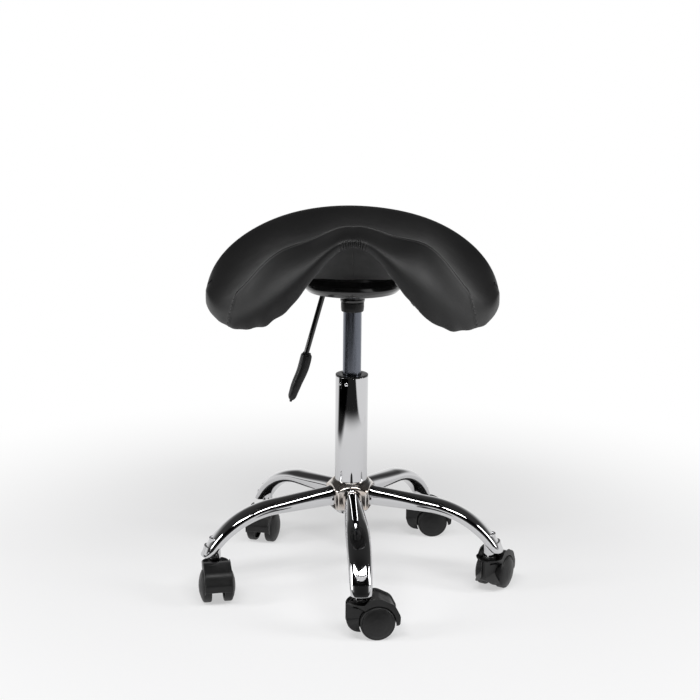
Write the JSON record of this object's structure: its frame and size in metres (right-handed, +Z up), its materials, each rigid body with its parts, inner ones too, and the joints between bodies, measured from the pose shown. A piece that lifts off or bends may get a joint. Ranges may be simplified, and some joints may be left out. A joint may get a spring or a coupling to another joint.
{
  "type": "saddle stool",
  "caption": "Height-adjustable saddle stool with a padded split-flap saddle seat, gas lift and lever on a chromed star base with twin-wheel casters",
  "frame": {"origin": "on the column's axis at floor level, where the wheels rest", "axes": "+Z up, -Y towards the front of the saddle (its raised nose), +X to the viewer's right"},
  "size_m": [0.4849, 0.4607, 0.581],
  "materials": {
    "polished_chrome": "mirror-polished chrome plate on steel",
    "zinc_steel": "bright zinc-plated steel",
    "ground_steel": "dark ground and oiled steel, semi-gloss",
    "black_nylon": "fine-grained satin black nylon",
    "wheel_nylon": "smooth satin black hard nylon",
    "black_powder_coat": "satin black powder coat on pressed steel",
    "black_vinyl": "soft black upholstery vinyl with a fine grain",
    "birch_plywood": "bare moulded plywood",
    "lining_cloth": "thin black non-woven lining cloth"
  },
  "bodies": {
    "base": {"hub_sleeve": "polished_chrome", "hub_body": "polished_chrome", "hub_collar": "polished_chrome", "hub_lower_plate": "zinc_steel", "stand_tube": "polished_chrome", "guide_bush": "black_nylon", "thrust_bearing": "zinc_steel", "leg_1": "polished_chrome", "leg_2": "polished_chrome", "leg_3": "polished_chrome", "leg_4": "polished_chrome", "leg_5": "polished_chrome", "leg_socket_1": "polished_chrome", "leg_socket_2": "polished_chrome", "leg_socket_3": "polished_chrome", "leg_socket_4": "polished_chrome", "leg_socket_5": "polished_chrome", "caster_stem_1": "zinc_steel", "caster_stem_2": "zinc_steel", "caster_stem_3": "zinc_steel", "caster_stem_4": "zinc_steel", "caster_stem_5": "zinc_steel"},
    "lift_rod": {"piston_rod": "zinc_steel", "piston": "black_nylon", "retaining_clip": "zinc_steel"},
    "seat": {"pressure_tube": "ground_steel", "rod_guide": "zinc_steel", "dust_ring": "black_nylon", "taper_socket": "black_powder_coat", "seat_plate": "black_powder_coat", "dish_cover": "black_powder_coat", "plate_bolts": "zinc_steel", "shell_tee_nuts": "zinc_steel", "seat_shell": "birch_plywood", "seat_cushion": "black_vinyl", "underside_lining": "lining_cloth", "lever_pin": "zinc_steel"},
    "lever": {"lever_rod": "black_powder_coat", "lever_grip": "black_nylon"},
    "valve_pin": {"release_pin": "zinc_steel"},
    "caster_1": {"caster_hood_1": "black_nylon", "caster_axle_1": "zinc_steel"},
    "wheel_left_1": {"caster_wheel_left_1": "wheel_nylon"},
    "wheel_right_1": {"caster_wheel_right_1": "wheel_nylon"},
    "caster_2": {"caster_hood_2": "black_nylon", "caster_axle_2": "zinc_steel"},
    "wheel_left_2": {"caster_wheel_left_2": "wheel_nylon"},
    "wheel_right_2": {"caster_wheel_right_2": "wheel_nylon"},
    "caster_3": {"caster_hood_3": "black_nylon", "caster_axle_3": "zinc_steel"},
    "wheel_left_3": {"caster_wheel_left_3": "wheel_nylon"},
    "wheel_right_3": {"caster_wheel_right_3": "wheel_nylon"},
    "caster_4": {"caster_hood_4": "black_nylon", "caster_axle_4": "zinc_steel"},
    "wheel_left_4": {"caster_wheel_left_4": "wheel_nylon"},
    "wheel_right_4": {"caster_wheel_right_4": "wheel_nylon"},
    "caster_5": {"caster_hood_5": "black_nylon", "caster_axle_5": "zinc_steel"},
    "wheel_left_5": {"caster_wheel_left_5": "wheel_nylon"},
    "wheel_right_5": {"caster_wheel_right_5": "wheel_nylon"}
  },
  "joints": [
    {"name": "seat_swivel", "type": "hinge", "parent": "base", "child": "lift_rod", "pos_m": [0, 0, 0.116], "axis": [0, 0, 1], "continuous": true},
    {"name": "gas_lift", "type": "slide", "parent": "lift_rod", "child": "seat", "axis": [0, 0, 1], "range_m": [-0.088, 0.05]},
    {"name": "lever_pull", "type": "hinge", "parent": "seat", "child": "lever", "pos_m": [-0.02255, -0.00821, 0.4756], "axis": [-0.342, 0.9397, 0], "range_deg": [0, 8.5], "stiffness_Nm_per_rad": 3, "springref_deg": -2.86},
    {"name": "release_pin_press", "type": "slide", "parent": "seat", "child": "valve_pin", "axis": [0, 0, -1], "range_m": [0, 0.0042]},
    {"name": "caster_swivel_1", "type": "hinge", "parent": "base", "child": "caster_1", "pos_m": [0.01535, -0.21946, 0.04], "axis": [0, 0, 1], "continuous": true},
    {"name": "wheel_roll_left_1", "type": "hinge", "parent": "caster_1", "child": "wheel_left_1", "pos_m": [0.03713, -0.2164, 0.025], "axis": [-0.1392, 0.9903, 0], "continuous": true},
    {"name": "wheel_roll_right_1", "type": "hinge", "parent": "caster_1", "child": "wheel_right_1", "pos_m": [0.03713, -0.2164, 0.025], "axis": [-0.1392, 0.9903, 0], "continuous": true},
    {"name": "caster_swivel_2", "type": "hinge", "parent": "base", "child": "caster_2", "pos_m": [0.21346, -0.05322, 0.04], "axis": [0, 0, 1], "continuous": true},
    {"name": "wheel_roll_left_2", "type": "hinge", "parent": "caster_2", "child": "wheel_left_2", "pos_m": [0.22446, -0.03417, 0.025], "axis": [-0.866, 0.5, 0], "continuous": true},
    {"name": "wheel_roll_right_2", "type": "hinge", "parent": "caster_2", "child": "wheel_right_2", "pos_m": [0.22446, -0.03417, 0.025], "axis": [-0.866, 0.5, 0], "continuous": true},
    {"name": "caster_swivel_3", "type": "hinge", "parent": "base", "child": "caster_3", "pos_m": [0.11658, 0.18657, 0.04], "axis": [0, 0, 1], "continuous": true},
    {"name": "wheel_roll_left_3", "type": "hinge", "parent": "caster_3", "child": "wheel_left_3", "pos_m": [0.13853, 0.1881, 0.025], "axis": [-0.0698, 0.9976, 0], "continuous": true},
    {"name": "wheel_roll_right_3", "type": "hinge", "parent": "caster_3", "child": "wheel_right_3", "pos_m": [0.13853, 0.1881, 0.025], "axis": [-0.0698, 0.9976, 0], "continuous": true},
    {"name": "caster_swivel_4", "type": "hinge", "parent": "base", "child": "caster_4", "pos_m": [-0.14141, 0.16853, 0.04], "axis": [0, 0, 1], "continuous": true},
    {"name": "wheel_roll_left_4", "type": "hinge", "parent": "caster_4", "child": "wheel_left_4", "pos_m": [-0.14711, 0.14728, 0.025], "axis": [0.9659, -0.2588, 0], "continuous": true},
    {"name": "wheel_roll_right_4", "type": "hinge", "parent": "caster_4", "child": "wheel_right_4", "pos_m": [-0.14711, 0.14728, 0.025], "axis": [0.9659, -0.2588, 0], "continuous": true},
    {"name": "caster_swivel_5", "type": "hinge", "parent": "base", "child": "caster_5", "pos_m": [-0.20398, -0.08241, 0.04], "axis": [0, 0, 1], "continuous": true},
    {"name": "wheel_roll_left_5", "type": "hinge", "parent": "caster_5", "child": "wheel_left_5", "pos_m": [-0.19941, -0.10393, 0.025], "axis": [0.9781, 0.2079, 0], "continuous": true},
    {"name": "wheel_roll_right_5", "type": "hinge", "parent": "caster_5", "child": "wheel_right_5", "pos_m": [-0.19941, -0.10393, 0.025], "axis": [0.9781, 0.2079, 0], "continuous": true}
  ],
  "couplings": [
    {"joint": "release_pin_press", "follows": "lever_pull", "m_per_rad": 0.0272}
  ]
}
